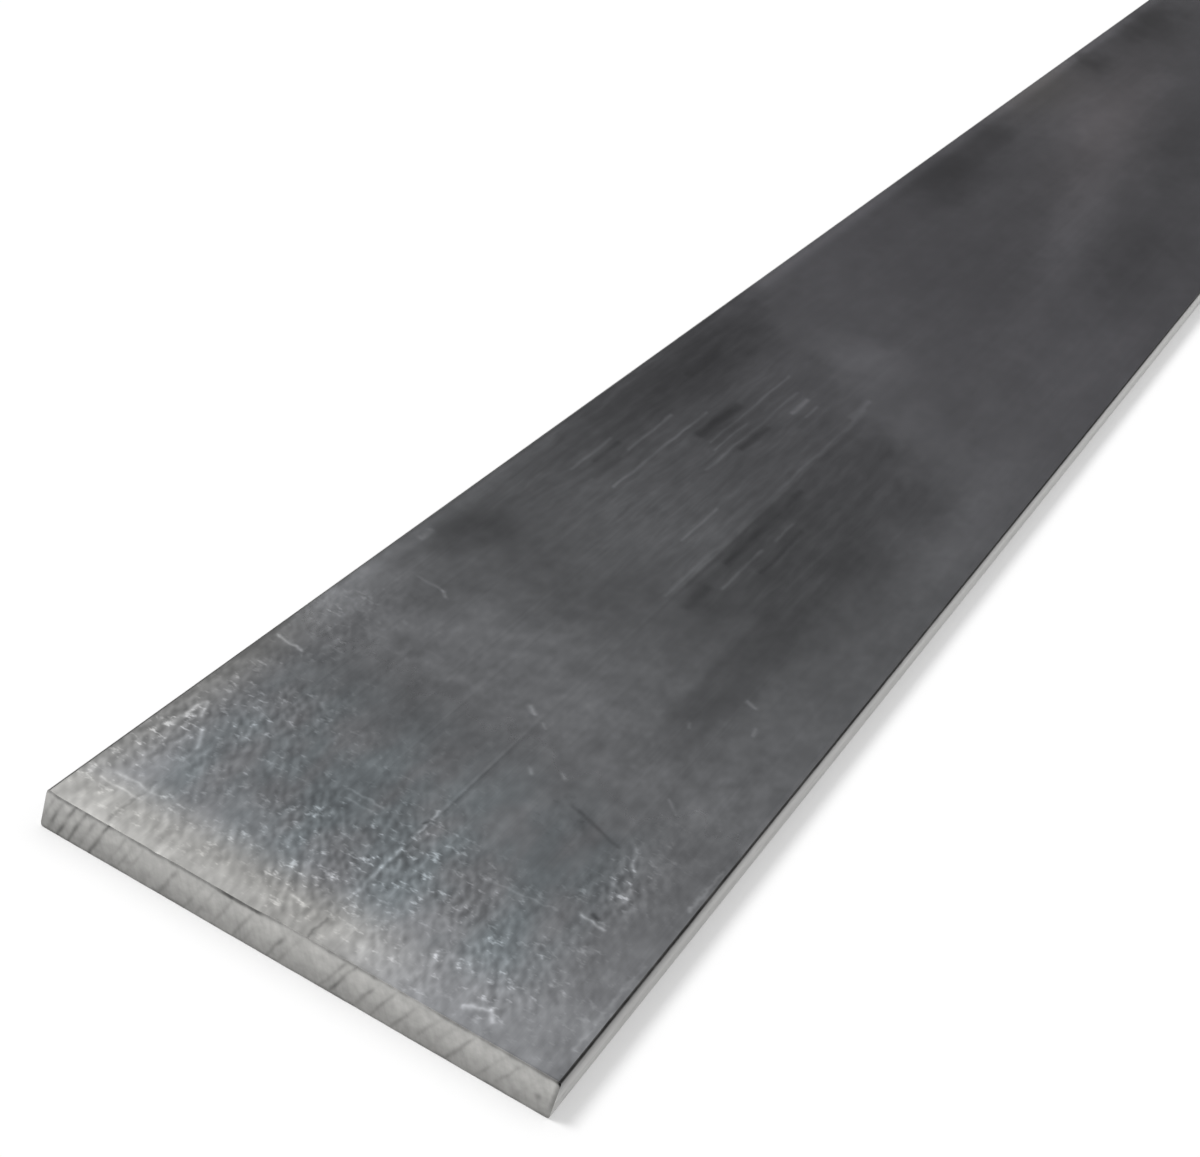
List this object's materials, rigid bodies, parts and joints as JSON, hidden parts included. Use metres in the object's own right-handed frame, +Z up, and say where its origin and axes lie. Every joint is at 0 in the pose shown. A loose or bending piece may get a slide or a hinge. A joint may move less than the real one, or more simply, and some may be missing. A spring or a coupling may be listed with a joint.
{
  "type": "metal flat bar",
  "caption": "Straight flat bar of mill-finish aluminium stock, with square sawn ends and crisp long edges.",
  "frame": {"origin": "centre of the underside", "axes": "+X along the bar, +Y across its width, +Z up through its thickness"},
  "size_m": [1, 0.075, 0.006],
  "materials": {
    "bar_metal": "mill finish, lightly scuffed, with sawn ends"
  },
  "bodies": {
    "root": {"flat_bar": "bar_metal"}
  },
  "joints": []
}
